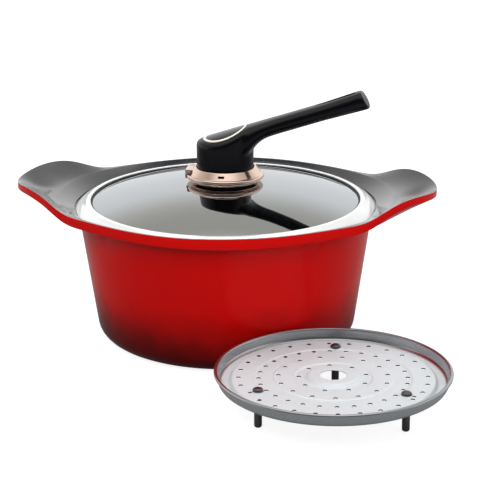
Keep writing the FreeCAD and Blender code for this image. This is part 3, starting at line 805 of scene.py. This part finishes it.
@dataclass
class Knob:
    """The hub with its lever arm, the trim ring, the cap, the seat and the turning collar."""

    hub_z: float
    neck_z: float
    collar_z: float
    seat_z: float
    seat_top: float
    hub_r: float = 0.0239
    hub_rise: float = 0.0292
    slope: float = 17.6
    crown: float = 0.052
    arm_end: float = 0.117
    arm_half_w: float = 0.0124
    arm_thick: float = 0.0136
    squareness: float = 0.8
    root_flare: float = 0.0056
    flare_fade: float = 0.017
    end_lean: float = 30.0
    lean_run: float = 0.034
    root_drop: float = 0.014
    root_start: float = 0.015
    root_fade: float = 0.011
    grip_start: float = 0.074
    grip_length: float = 0.036
    grip_half_w: float = 0.0032
    grip_depth: float = 0.0026
    inlay_r: float = 0.0182
    trim_w: float = 0.0021
    trim_proud: float = 0.0005
    cap_proud: float = 0.0003
    inlay_depth: float = 0.0016
    seat_r: float = 0.029
    seat_edge: float = 0.0004
    screw_hole_r: float = 0.00256
    bore_r: float = 0.00906
    collar_r: float = 0.0326
    brim: float = 0.0042
    brim_round: float = 0.0017
    brim_w: float = 0.0024
    collar_floor: float = 0.002
    collar_wall: float = 0.0014
    hub_gap: float = 0.0005
    slot_w: float = 0.0052
    slot_h: float = 0.0017
    slot_down: float = 0.0002
    tab_w: float = 0.015
    tab_top: float = 0.0076
    tab_out: float = 0.0004
    voxel: float = 0.0007
    soften: int = 50

    @property
    def top_z(self) -> float:
        """Height of the sloping top on the axis."""
        return self.neck_z + self.hub_rise

    @property
    def rise(self) -> float:
        """Rise of the sloping top per unit of reach."""
        return math.tan(math.radians(self.slope))

    def top(self, x: float, y: float) -> float:
        """Return the height of the crowned, sloping top over a place."""
        sag = self.crown - math.sqrt(self.crown**2 - y**2)
        return self.top_z + self.rise * x - sag / math.cos(math.radians(self.slope))

    def hub(self) -> bmesh.types.BMesh:
        """Return the hub: a turned drum stretched up to the sloping top."""
        flat = 0.03
        rings = [Corner(self.hub_r * i / 12, flat) for i in range(11)]
        mesh = Lathe(96, 6).turn([
            *rings, Corner(self.hub_r, flat, 0.0022), Corner(self.hub_r, 0.02),
            Corner(self.hub_r, 0.01), Corner(self.hub_r, 0.0, 0.0008), Corner(0, 0)])
        for vert in mesh.verts:
            height = self.top(vert.co.x, vert.co.y) - self.hub_z
            vert.co.z = self.hub_z + vert.co.z / flat * height
        return mesh

    def arm_ring(self, x: float, count: int) -> list[Vector]:
        """Return the points of the arm's section at a reach."""
        thick = self.arm_thick / math.cos(math.radians(self.slope))
        thick += self.root_drop * fade(max(0.0, x - self.root_start), self.root_fade, 2)
        top = self.top_z + self.rise * x
        lean = math.tan(math.radians(self.end_lean)) * max(0.0, 1 - (self.arm_end - x) / self.lean_run)
        past = max(0.0, x - self.root_start)
        half_w = self.arm_half_w + self.root_flare * fade(past, self.flare_fade, 2)
        points = []
        for i in range(count):
            turn = math.tau * i / count
            across = math.copysign(abs(math.cos(turn)) ** self.squareness, math.cos(turn)) * half_w
            up = math.copysign(abs(math.sin(turn)) ** self.squareness, math.sin(turn)) * thick / 2
            points.append(Vector((x - lean * up, across, top - thick / 2 + up)))
        return points

    def groove(self) -> bmesh.types.BMesh:
        """Return the wedge that cuts the tapered finger groove in the arm's top."""
        mesh = bmesh.new()
        ring = bmesh.ops.create_circle(mesh, cap_ends=True, segments=32, radius=self.grip_half_w)["verts"]
        for vert in ring:
            if vert.co.x < 0:
                share = min(1.0, -vert.co.x / self.grip_half_w)
                vert.co = Vector((-(self.grip_length - self.grip_half_w) * share, vert.co.y, 0))
        walls = bmesh.ops.extrude_face_region(mesh, geom=mesh.faces[:])["geom"]
        lifted = [g for g in walls if isinstance(g, bmesh.types.BMVert)]
        bmesh.ops.translate(mesh, verts=lifted, vec=(0, 0, 4 * self.grip_depth))
        bmesh.ops.recalc_face_normals(mesh, faces=mesh.faces[:])
        x = self.grip_start + self.grip_length - self.grip_half_w
        place = Matrix.Translation((x, 0, self.top_z + self.rise * x - self.grip_depth))
        tilt = Matrix.Rotation(-math.radians(self.slope), 4, "Y")
        bmesh.ops.transform(mesh, matrix=place @ tilt, verts=mesh.verts[:])
        return mesh

    def arm(self) -> bmesh.types.BMesh:
        """Return the lever arm, extruded section by section."""
        count, stations = 96, 90
        mesh = bmesh.new()
        ring = bmesh.ops.create_circle(mesh, segments=count, radius=self.arm_half_w)["verts"]
        for vert, point in zip(ring, self.arm_ring(0.0, count)):
            vert.co = point
        edges = list(mesh.edges)
        bmesh.ops.contextual_create(mesh, geom=edges)
        for i in range(1, stations + 1):
            made = bmesh.ops.extrude_edge_only(mesh, edges=edges)["geom"]
            edges = [g for g in made if isinstance(g, bmesh.types.BMEdge)]
            edges = [e for e in edges if all(v not in ring for v in e.verts)]
            fresh = [g for g in made if isinstance(g, bmesh.types.BMVert)]
            before = {vert: place for place, vert in enumerate(ring)}
            order: list = [None] * count
            for vert in fresh:
                root = next(e.other_vert(vert) for e in vert.link_edges if e.other_vert(vert) in before)
                order[before[root]] = vert
            for vert, point in zip(order, self.arm_ring(self.arm_end * i / stations, count)):
                vert.co = point
            ring = order
        cap = bmesh.ops.contextual_create(mesh, geom=edges)["faces"]
        bmesh.ops.recalc_face_normals(mesh, faces=mesh.faces[:])
        rim = [e for f in cap for e in f.edges]
        bmesh.ops.bevel(mesh, geom=rim, offset=0.0022, offset_type="OFFSET", segments=4, profile=0.5,
                        affect="EDGES", clamp_overlap=True, material=-1)
        return mesh

    def on_top(self, corners: list[Corner], closed: bool) -> bmesh.types.BMesh:
        """Turn a small outline and lay it on the hub's sloping, crowned top."""
        mesh = Lathe(128, 4).turn(corners, closed)
        for vert in mesh.verts:
            vert.co.z += self.top(vert.co.x, vert.co.y)
        return mesh

    def trim_ring(self) -> bmesh.types.BMesh:
        """Return the trim ring."""
        inner = self.inlay_r - self.trim_w
        return self.on_top([
            Corner(inner, -self.inlay_depth), Corner(self.inlay_r, -self.inlay_depth),
            Corner(self.inlay_r, self.trim_proud, 0.0005), Corner(inner, self.trim_proud, 0.0005)], True)

    def cap(self) -> bmesh.types.BMesh:
        """Return the glossy cap inside the trim ring."""
        r = self.inlay_r - self.trim_w
        rings = [Corner(r * i / 8, self.cap_proud) for i in range(8)]
        return self.on_top([*rings, Corner(r, self.cap_proud, 0.0003), Corner(r, -self.inlay_depth),
                            Corner(0, -self.inlay_depth)], False)

    def seat(self) -> bmesh.types.BMesh:
        """Return the ring that the collar stands on."""
        edge = self.seat_edge
        return Lathe(128).turn([
            Corner(self.screw_hole_r, self.seat_z), Corner(self.seat_r, self.seat_z, edge),
            Corner(self.seat_r, self.seat_top, edge), Corner(self.screw_hole_r, self.seat_top)], True)

    def collar(self) -> bmesh.types.BMesh:
        """Return the turned cup of the collar."""
        neck_in = self.hub_r + self.hub_gap
        neck = neck_in + self.collar_wall
        low, floor = self.collar_z, self.collar_z + self.collar_floor
        brim = low + self.brim
        return Lathe(192, 6).turn([
            Corner(self.bore_r, low), Corner(self.collar_r, low, self.brim_round),
            Corner(self.collar_r, brim, self.brim_round), Corner(self.collar_r - self.brim_w, brim, 0.0003),
            Corner(neck, self.neck_z, 0.0004), Corner(neck_in, self.neck_z, 0.0003), Corner(neck_in, floor),
            Corner(self.bore_r, floor)], closed=True)

    def block(self, low: Vector, high: Vector, rounding: float = 0.0) -> bmesh.types.BMesh:
        """Return a block between two corners with rounded edges."""
        mesh = bmesh.new()
        size = high - low
        place = Matrix.Translation((low + high) / 2) @ Matrix.Diagonal((*size, 1))
        bmesh.ops.create_cube(mesh, size=1.0, matrix=place)
        if rounding:
            bmesh.ops.bevel(mesh, geom=mesh.edges[:], offset=rounding, offset_type="OFFSET", segments=3,
                            profile=0.5, affect="EDGES", clamp_overlap=True, material=-1)
        return mesh

    def slot(self) -> bmesh.types.BMesh:
        """Return the block that cuts the steam slot in the collar's front."""
        top = self.hub_z - self.slot_down
        return self.block(Vector((-self.slot_w / 2, -self.collar_r, top - self.slot_h)),
                          Vector((self.slot_w / 2, -self.hub_r, top)))

    def tab(self) -> bmesh.types.BMesh:
        """Return the collar's finger tab, on the side away from the arm."""
        face = self.collar_r + self.tab_out
        inner = self.hub_r + self.hub_gap + self.collar_wall / 2
        return self.block(Vector((-face, -self.tab_w / 2, self.collar_z)),
                          Vector((-inner, self.tab_w / 2, self.collar_z + self.tab_top)), 0.0006)


# ---------------------------------------------------------------- rack


@dataclass
class Rack:
    """The perforated steamer rack, its three legs and their domed nuts."""

    centre: Vector
    top_z: float
    outer_r: float
    plate_z: float = 0.0279
    sheet: float = 0.0009
    bead_r: float = 0.0015
    trough_depth: float = 0.0022
    trough_in: float = 0.0765
    trough_out: float = 0.086
    boss_r: float = 0.0215
    boss_rise: float = 0.0026
    hole_r: float = 0.010
    perforation_r: float = 0.0017
    rings: tuple[tuple[float, int], ...] = ((0.0259, 9), (0.0415, 15), (0.0562, 28), (0.0713, 28))
    steps: tuple[float, ...] = (0.0288, 0.0444, 0.0586)
    step_rise: float = 0.0007
    step_width: float = 0.0012
    leg_r: float = 0.00295
    leg_circle: float = 0.063
    leg_start: float = 212.1
    stud_r: float = 0.0016
    cap_r: float = 0.00415
    cap_h: float = 0.0026
    drain_r: float = 0.0015
    drain_step: float = 0.0064
    boss_slope: float = 0.003
    trough_slope: float = 0.0025
    wall_inset: float = 0.0016
    stud_grip: float = 0.0012
    leg_land: float = 0.0005
    drain_land: float = 0.001
    drill_depth: float = 0.006

    def centre_line(self) -> list[tuple[float, float]]:
        """Return the top line of the pressed sheet from the centre hole to the rim."""
        boss_z = self.plate_z + self.boss_rise
        trough_z = self.plate_z - self.trough_depth
        line = [(self.hole_r, boss_z), (self.boss_r - self.boss_slope, boss_z), (self.boss_r, self.plate_z)]
        height = self.plate_z
        for r in self.steps:
            raised = self.plate_z + (self.step_rise if height == self.plate_z else 0.0)
            line += [(r, height), (r + self.step_width, raised)]
            height = raised
        line += [(self.trough_in, height), (self.trough_in + self.trough_slope, trough_z)]
        line += [(self.trough_out, trough_z), (self.outer_r - self.wall_inset, self.top_z - self.bead_r)]
        return line

    def height(self, radius: float) -> float:
        """Return the sheet's top at a radius."""
        line = self.centre_line()
        for (r0, z0), (r1, z1) in zip(line, line[1:]):
            if r0 <= radius <= r1:
                return z0 + (z1 - z0) * (radius - r0) / (r1 - r0)
        return self.plate_z

    def leg_places(self) -> list[tuple[float, float]]:
        """Return the cosine and sine of each leg's bearing."""
        turns = [math.radians(self.leg_start + 120 * i) for i in range(3)]
        return [(math.cos(t), math.sin(t)) for t in turns]

    def moved(self, mesh: bmesh.types.BMesh, x: float = 0.0, y: float = 0.0) -> bmesh.types.BMesh:
        """Move a mesh that was made about the axis to the rack's place."""
        bmesh.ops.translate(mesh, verts=mesh.verts[:], vec=self.centre + Vector((x, y, 0)))
        return mesh

    def plate(self) -> bmesh.types.BMesh:
        """Return the pressed sheet with its rolled rim, before it is perforated."""
        line = self.centre_line()
        soft = [0.0004, 0.0012, 0.0012] + [0.0006] * (2 * len(self.steps)) + [0.0009, 0.0009, 0.003, 0.0]
        top = [Corner(r, z, s) for (r, z), s in zip(line, soft)]
        low = [Corner(r, z - self.sheet, s) for (r, z), s in zip(line[:-1], soft)]
        out = self.outer_r - self.wall_inset + self.sheet
        bead_z = self.top_z - self.bead_r
        bead = []
        for i in range(9):
            turn = math.radians(200 - 250 * i / 8)
            bead.append(Corner(self.outer_r - self.bead_r + self.bead_r * math.cos(turn),
                               bead_z + self.bead_r * math.sin(turn)))
        corners = top[:-1] + bead + [Corner(out - 0.0006, bead_z - 0.0012)] + list(reversed(low))
        return self.moved(Lathe(192, 3).turn(corners, closed=True))

    def drills(self) -> bmesh.types.BMesh:
        """Return the drills for the perforations and the drains."""
        mesh = bmesh.new()
        legs = self.leg_places()
        spots = [(self.leg_circle * c, self.leg_circle * s) for c, s in legs]
        out = self.leg_circle + self.drain_step
        drains = [(out * c, out * s) for c, s in legs]
        holes = [(x, y, self.drain_r) for x, y in drains]
        for radius, count in self.rings:
            for i in range(count):
                turn = math.tau * (i + 0.5) / count
                x, y = radius * math.cos(turn), radius * math.sin(turn)
                to_leg = min(math.hypot(x - a, y - b) for a, b in spots)
                to_drain = min(math.hypot(x - a, y - b) for a, b in drains)
                near_leg = to_leg < self.cap_r + self.perforation_r + self.leg_land
                near_drain = to_drain < self.drain_r + self.perforation_r + self.drain_land
                if not (near_leg or near_drain):
                    holes.append((x, y, self.perforation_r))
        for x, y, r in holes:
            surface = self.height(math.hypot(x, y))
            shift = Matrix.Translation(self.centre + Vector((x, y, surface - 0.0002)))
            bmesh.ops.create_cone(mesh, cap_ends=True, segments=16, radius1=r, radius2=r,
                                  depth=self.drill_depth, matrix=shift)
        return mesh

    def leg(self, number: int) -> bmesh.types.BMesh:
        """Return one leg with its rounded foot and its stud."""
        top = self.height(self.leg_circle) - self.sheet
        c, s = self.leg_places()[number]
        stud = top + self.sheet + self.stud_grip
        mesh = Lathe(40, 5).turn([
            Corner(0, 0), Corner(self.leg_r, 0, 0.0016), Corner(self.leg_r, top, 0.0003),
            Corner(self.stud_r, top), Corner(self.stud_r, stud), Corner(0, stud)])
        return self.moved(mesh, self.leg_circle * c, self.leg_circle * s)

    def caps(self) -> bmesh.types.BMesh:
        """Return the three domed nuts as one mesh."""
        low = self.height(self.leg_circle)
        bore = low + self.stud_grip
        mesh = bmesh.new()
        for c, s in self.leg_places():
            nut = Lathe(40, 6).turn([
                Corner(self.stud_r, low), Corner(self.cap_r, low, 0.0003),
                Corner(self.cap_r, low + self.cap_h, 0.0022), Corner(0, low + self.cap_h),
                Corner(0, bore), Corner(self.stud_r, bore)])
            self.moved(nut, self.leg_circle * c, self.leg_circle * s)
            data = bpy.data.meshes.new("nut")
            nut.to_mesh(data)
            nut.free()
            mesh.from_mesh(data)
            bpy.data.meshes.remove(data)
        return mesh


# ---------------------------------------------------------------- studio


@dataclass
class Studio:
    """Pale floor, soft light and the camera."""

    camera_at: tuple[float, float, float] = (0.1746, -1.3503, 0.5)
    heading: float = 6.652
    pitch: float = 17.38
    roll: float = -0.32
    lens: float = 122.72
    sensor: float = 36.0
    white: Colour = (1.0, 1.0, 1.0)
    warm: Colour = (0.86, 0.83, 0.76)
    floor_bounce: Colour = (0.22, 0.22, 0.22)
    floor_shade: Colour = (0.25, 0.25, 0.25)
    floor_dim: Colour = (0.05, 0.05, 0.05)
    floor_glow: Colour = (0.88, 0.88, 0.88)
    front_light: float = 0.10
    dim_light: float = 0.68
    top_light: float = 0.35

    def camera(self) -> None:
        """Add the camera."""
        data = bpy.data.cameras.new("camera")
        data.lens = self.lens
        data.sensor_width = self.sensor
        view = bpy.data.objects.new("camera", data)
        turn = Matrix.Rotation(math.radians(self.heading), 4, "Z")
        tilt = Matrix.Rotation(math.radians(90 - self.pitch), 4, "X")
        lean = Matrix.Rotation(math.radians(self.roll), 4, "Z")
        view.matrix_world = Matrix.Translation(self.camera_at) @ turn @ tilt @ lean
        bpy.context.scene.collection.objects.link(view)
        bpy.context.scene.camera = view

    def floor(self) -> None:
        """Add the pale floor."""
        mesh = bmesh.new()
        bmesh.ops.create_grid(mesh, x_segments=1, y_segments=1, size=6.0,
                              matrix=Matrix.Translation((0, 0, -0.0003)))
        data = bpy.data.meshes.new("floor")
        mesh.to_mesh(data)
        mesh.free()
        tree = MaterialTree("pale_floor")
        seen = tree.add("ShaderNodeLightPath", {}, {}, "Is Camera Ray")
        tree.surface(Base_Color=tree.mix(seen, self.floor_bounce, self.floor_shade), Roughness=0.8,
                     Emission_Color=tree.mix(seen, self.floor_dim, self.floor_glow),
                     Emission_Strength=1.0)
        data.materials.append(tree.material)
        floor = bpy.data.objects.new("floor", data)
        bpy.context.scene.collection.objects.link(floor)

    def sky(self) -> None:
        """Add a surround that is white where it's seen, and dimmer in front and half way up elsewhere."""
        world = bpy.data.worlds.new("studio")
        bpy.context.scene.world = world
        tree = NodeTree(world)
        _, y, z = tree.parts(tree.add("ShaderNodeTexCoord", {}, {}, "Generated"))
        seen = tree.add("ShaderNodeLightPath", {}, {}, "Is Camera Ray")
        overhead = z.ramp(0.72, 0.92)
        dim = z.ramp(0.34, 0.66) * (1.0 - overhead)
        front = (1.0 - y.ramp(-0.70, 0.05)) * (1.0 - overhead)
        around = tree.grey(self.front_light, 1.0, 1.0 - front)
        strength = around * tree.grey(1.0, self.dim_light, dim) + overhead * self.top_light
        tree.feed(tree.nodes["Background"].inputs["Strength"], seen + (1.0 - seen) * strength)
        tint = tree.mix(dim * (1.0 - seen), self.white, self.warm)
        tree.feed(tree.nodes["Background"].inputs["Color"], tint)

    def lamp(self, name: str, place: tuple[float, float, float], size: tuple[float, float],
             power: float) -> None:
        """Add a soft box that points at the pot and doesn't show in mirrors.

        Args:
            name: the lamp's name.
            place: where it stands.
            size: its width and height.
            power: its power in watts.
        """
        data = bpy.data.lights.new(name, "AREA")
        data.shape = "RECTANGLE"
        data.size, data.size_y = size
        data.energy = power
        lamp = bpy.data.objects.new(name, data)
        lamp.location = place
        lamp.visible_glossy = False
        aim = Vector((0, 0, 0.08)) - Vector(place)
        lamp.rotation_euler = aim.to_track_quat("-Z", "Y").to_euler()
        bpy.context.scene.collection.objects.link(lamp)

    def build(self) -> None:
        """Set up everything that isn't part of the object."""
        bpy.context.scene.view_settings.view_transform = "Standard"
        self.camera()
        self.floor()
        self.sky()
        self.lamp("key", (-0.5, -1.5, 1.5), (1.2, 0.8), 26.0)
        self.lamp("fill", (1.5, -1.0, 0.9), (1.0, 1.0), 12.0)
        self.lamp("top", (0.1, 0.3, 1.8), (1.6, 1.2), 16.0)


# ---------------------------------------------------------------- assembly


class StockPot:
    """Builds the pot, the lid, the knob and the rack around the frame."""

    def __init__(self, frame: dict) -> None:
        """Keep the frame and make the finishes.
        """
        self.frame = frame
        self.shop = Workshop()
        plate_low, plate_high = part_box("rack_plate")
        self.rack_centre = Vector(((plate_low.x + plate_high.x) / 2, (plate_low.y + plate_high.y) / 2, 0))
        self.rack_r = (plate_high.x - plate_low.x) / 2
        self.rack_top = plate_high.z
        place = (self.rack_centre.x, self.rack_centre.y)
        self.enamel = Enamel().make()
        self.lining = StoneLining().make()
        self.glass = LidGlass().make()
        self.polished = Metal("polished_steel", (0.86, 0.87, 0.88), 0.14, 0.000004, metallic=0.45).make()
        self.brushed = Metal("brushed_steel", (0.54, 0.575, 0.60), 0.46, 0.00001, 2200.0, place,
                             satin_r=0.0855, satin_metallic=0.20).make()
        # dark metal for the perforations' walls: painted shade inside the holes
        self.hole_painted_shade = Metal("hole_painted_shade", (0.10, 0.10, 0.105), 0.5, 0.000002).make()
        self.rose_gold = Metal("rose_gold", (0.90, 0.68, 0.57), 0.12, 0.000003).make()
        self.pale_gold = Metal("pale_gold", (0.93, 0.86, 0.76), 0.20, 0.000003, metallic=0.4).make()
        self.brass = Metal("brass", (0.80, 0.62, 0.30), 0.22, 0.000006).make()
        self.leg_steel = Metal("leg_steel", (0.16, 0.16, 0.165), 0.34, 0.000006, 1600.0, place).make()
        self.bakelite = Moulded("black_bakelite", (0.001, 0.0012, 0.0022), 0.25, gloss=0.25).make()
        self.gloss = Moulded("gloss_black", (0.004, 0.006, 0.012), 0.08, 0.0, 0.000003, 0.3).make()
        self.silicone = Moulded("black_silicone", (0.010, 0.010, 0.010), 0.55).make()

    def build_pot(self) -> None:
        """Make the casting."""
        self.shop.finish("pot_casting", PotCasting().build(), [self.enamel, self.lining], "pot",
                         "pot_enamel", ["pot_body"], crease=50.0)

    def build_lid(self) -> None:
        """Make the glass, its seal and its band."""
        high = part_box("lid_glass")[1]
        lid = Lid(glass_r=high.x, glass_top=high.z)
        glass = self.shop.finish("domed_glass", lid.glass(), [self.glass], "lid", "lid_glass",
                                 ["lid_glass"])
        combine(glass, Join.CUT, lid.vents())
        self.shop.finish("glass_seal", lid.seal(), [self.silicone], "lid", "black_silicone",
                         ["lid_rim_seal"])
        self.shop.finish("lid_band", lid.band(), [self.polished], "lid", "polished_steel", ["lid_rim"])

    def knob_shape(self, knob: Knob) -> bpy.types.Object:
        """Join hub and arm into one moulded body with soft transitions."""
        hub, arm = knob.hub(), knob.arm()
        data = bpy.data.meshes.new("arm")
        arm.to_mesh(data)
        arm.free()
        hub.from_mesh(data)
        bpy.data.meshes.remove(data)
        piece = self.shop.finish("lever_handle", hub, [self.bakelite], "lid", "black_bakelite",
                                 ["lever_knob"])
        remesh = piece.modifiers.new("one_body", "REMESH")
        remesh.mode = "VOXEL"
        remesh.voxel_size = knob.voxel
        remesh.use_smooth_shade = True
        soften = piece.modifiers.new("soften", "SMOOTH")
        soften.factor = 0.5
        soften.iterations = knob.soften
        apply_modifiers(piece)
        # the groove's cut faces take black silicone as painted shade in the recess
        combine(piece, Join.CUT, knob.groove(), self.silicone)
        return piece

    def build_knob(self) -> None:
        """Make the knob, its trims and the turning collar."""
        seat_low, seat_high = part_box("collar_seat")
        collar_low, collar_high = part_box("vent_collar")
        knob = Knob(hub_z=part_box("collar_bush")[1].z, neck_z=collar_high.z, collar_z=collar_low.z,
                    seat_z=seat_low.z, seat_top=seat_high.z)
        self.knob_shape(knob)
        add = self.shop.finish
        add("trim_ring", knob.trim_ring(), [self.pale_gold], "lid", "rose_gold", ["inlay_trim_ring"])
        add("inlay_disc", knob.cap(), [self.gloss], "lid", "gloss_black", ["inlay_cap"])
        add("collar_stand", knob.seat(), [self.rose_gold], "lid", "rose_gold", ["collar_seat"])
        collar = add("steam_collar", knob.collar(), [self.rose_gold], "vent_collar", "rose_gold",
                     ["vent_collar"])
        combine(collar, Join.ADD, knob.tab())
        # the slot's cut faces take black silicone as painted shade inside the slot
        combine(collar, Join.CUT, knob.slot(), self.silicone)
        for node, material in (("knob_base_gasket", self.silicone), ("collar_bush", self.brass),
                               ("knob_insert", self.brass), ("inner_gasket", self.silicone),
                               ("inner_washer", self.brushed), ("knob_screw", self.brushed)):
            Workshop.dress(self.frame, node, material)

    def build_rack(self) -> None:
        """Make the rack's plate, legs and nuts."""
        rack = Rack(centre=self.rack_centre, top_z=self.rack_top, outer_r=self.rack_r)
        plate = self.shop.finish("perforated_plate", rack.plate(), [self.brushed], "rack", "brushed_steel",
                                 ["rack_plate"])
        # the drilled walls take the dark metal as painted shade inside the holes
        combine(plate, Join.CUT, rack.drills(), self.hole_painted_shade)
        for number in range(3):
            self.shop.finish("leg_" + str(number + 1), rack.leg(number), [self.leg_steel], "rack",
                             "leg_steel", ["rack_leg_" + str(number + 1)])
        self.shop.finish("leg_nuts", rack.caps(), [self.leg_steel], "rack", "leg_steel", ["rack_leg_caps"])


def main() -> None:
    """Build the whole scene around the frame."""
    logging.basicConfig(level=logging.INFO, format="%(message)s")
    bpy.ops.wm.read_factory_settings(use_empty=True)
    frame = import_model()
    Studio().build()
    pot = StockPot(frame)
    steps: list[Callable[[], None]] = [pot.build_pot, pot.build_lid, pot.build_knob, pot.build_rack]
    for step in steps:
        step()


if __name__ == "__main__":
    main()
